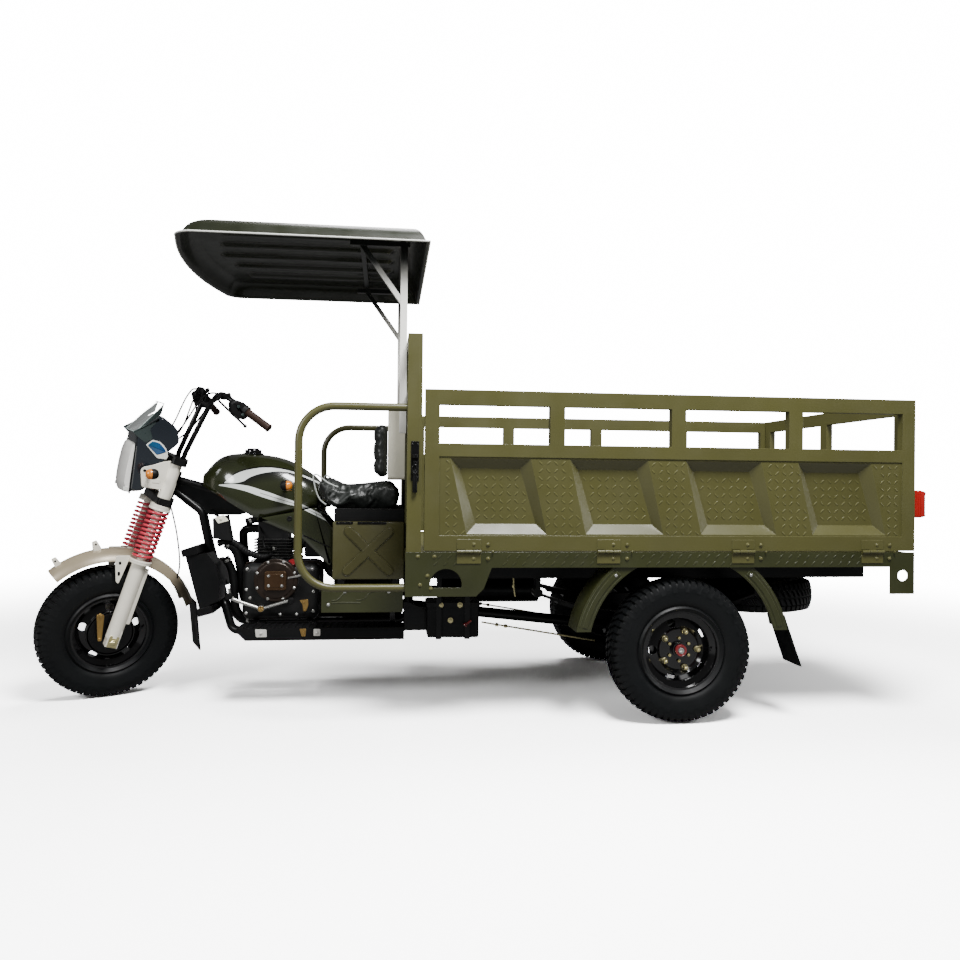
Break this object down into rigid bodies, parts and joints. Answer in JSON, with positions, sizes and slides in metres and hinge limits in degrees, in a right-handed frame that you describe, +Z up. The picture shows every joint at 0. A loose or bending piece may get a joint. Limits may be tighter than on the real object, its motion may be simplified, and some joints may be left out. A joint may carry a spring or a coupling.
{
  "type": "cargo motor tricycle",
  "caption": "Three-wheeled cargo motorcycle with a drop-side load bed, a saddle seat, a driver's canopy, a sprung front fork and leaf-sprung rear axle.",
  "frame": {"origin": "on the ground, midway between the front and rear ends and midway between the sides", "axes": "+X to the rear of the vehicle, +Y to the vehicle's right, +Z up; the pictured left side faces -Y"},
  "size_m": [3.7353, 1.33, 1.966],
  "materials": {
    "amber_lens": "gloss",
    "black_metal": "semi-gloss",
    "black_plastic": "satin",
    "bronze_paint": "satin",
    "champagne": "satin",
    "clear_screen": "smoked",
    "cream_panel": "satin",
    "dark_rubber": "matt",
    "engine_metal": "cast",
    "grey_paint": "satin",
    "grip_rubber": "matt",
    "lamp_lens": "clear",
    "leather": "wrapped in clear film",
    "navy_shell": "gloss",
    "olive_paint": "semi-gloss",
    "red_lens": "gloss",
    "red_spring": "gloss",
    "steel": "satin",
    "tank_paint": "gloss",
    "tyre": "matt"
  },
  "bodies": {
    "vehicle": {"back_cushion": "leather", "backrest": "cream_panel", "bed_frame": "black_metal", "canopy_frame": "grey_paint", "canopy_shell": "olive_paint", "cargo_floor": "olive_paint", "drive_shaft": "black_metal", "engine_block": "engine_metal", "engine_cover": "bronze_paint", "engine_fittings": "black_plastic", "exhaust": "black_metal", "foot_boards": "dark_rubber", "foot_levers": "steel", "front_frame": "black_metal", "fuel_tank": "tank_paint", "gate_latches": "black_metal", "guard_hoops": "olive_paint", "headboard": "olive_paint", "hinge_leaves": "olive_paint", "leaf_springs": "black_metal", "radiator": "black_metal", "rear_axle": "black_metal", "rear_beam": "olive_paint", "rear_mud_flaps": "dark_rubber", "rear_mudguards": "olive_paint", "seat_base": "black_plastic", "seat_box": "olive_paint", "seat_cushion": "leather", "side_covers": "tank_paint", "side_indicators": "amber_lens", "side_skirts": "olive_paint", "spare_hanger": "steel", "spare_rim": "black_metal", "spare_tyre": "tyre", "step_plates": "olive_paint"},
    "steering": {"fork_legs": "champagne", "fork_springs": "red_spring", "fork_yokes": "black_metal", "front_brake": "black_metal", "lamp_brackets": "champagne", "handlebar": "black_metal", "hand_grips": "grip_rubber", "headlight_cowl": "navy_shell", "headlight_lens": "lamp_lens", "windshield": "clear_screen", "front_mudguard": "champagne", "front_indicators": "amber_lens", "front_mud_flap": "dark_rubber", "control_cables": "dark_rubber", "hand_levers": "steel"},
    "front_wheel": {"front_tyre": "tyre", "front_rim": "black_metal"},
    "rear_wheel_left": {"rear_left_tyre": "tyre", "rear_left_rim": "black_metal"},
    "rear_wheel_right": {"rear_right_tyre": "tyre", "rear_right_rim": "black_metal"},
    "left_gate": {"left_gate": "olive_paint"},
    "right_gate": {"right_gate": "olive_paint"},
    "tailgate": {"tailgate": "olive_paint", "tail_lamps": "red_lens"}
  },
  "joints": [
    {"name": "steering_turn", "type": "hinge", "parent": "vehicle", "child": "steering", "pos_m": [-1.562, 0, 0.2802], "axis": [0.3209, 0, 0.9471], "range_deg": [-68.56, 11.44]},
    {"name": "front_wheel_spin", "type": "hinge", "parent": "steering", "child": "front_wheel", "pos_m": [-1.59332, -0.01769, 0.28902], "axis": [-0.4528, 0.8783, 0.1534], "continuous": true},
    {"name": "rear_wheel_left_spin", "type": "hinge", "parent": "vehicle", "child": "rear_wheel_left", "pos_m": [0.785, -0.569, 0.29], "axis": [0, 1, 0], "continuous": true},
    {"name": "rear_wheel_right_spin", "type": "hinge", "parent": "vehicle", "child": "rear_wheel_right", "pos_m": [0.785, 0.569, 0.29], "axis": [0, 1, 0], "continuous": true},
    {"name": "left_gate_drop", "type": "hinge", "parent": "vehicle", "child": "left_gate", "pos_m": [0.755, -0.658, 0.6875], "axis": [1, 0, 0], "range_deg": [0, 180]},
    {"name": "right_gate_drop", "type": "hinge", "parent": "vehicle", "child": "right_gate", "pos_m": [0.755, 0.658, 0.6875], "axis": [-1, 0, 0], "range_deg": [0, 180]},
    {"name": "tailgate_drop", "type": "hinge", "parent": "vehicle", "child": "tailgate", "pos_m": [1.763, 0, 0.6875], "axis": [0, 1, 0], "range_deg": [0, 180]}
  ]
}
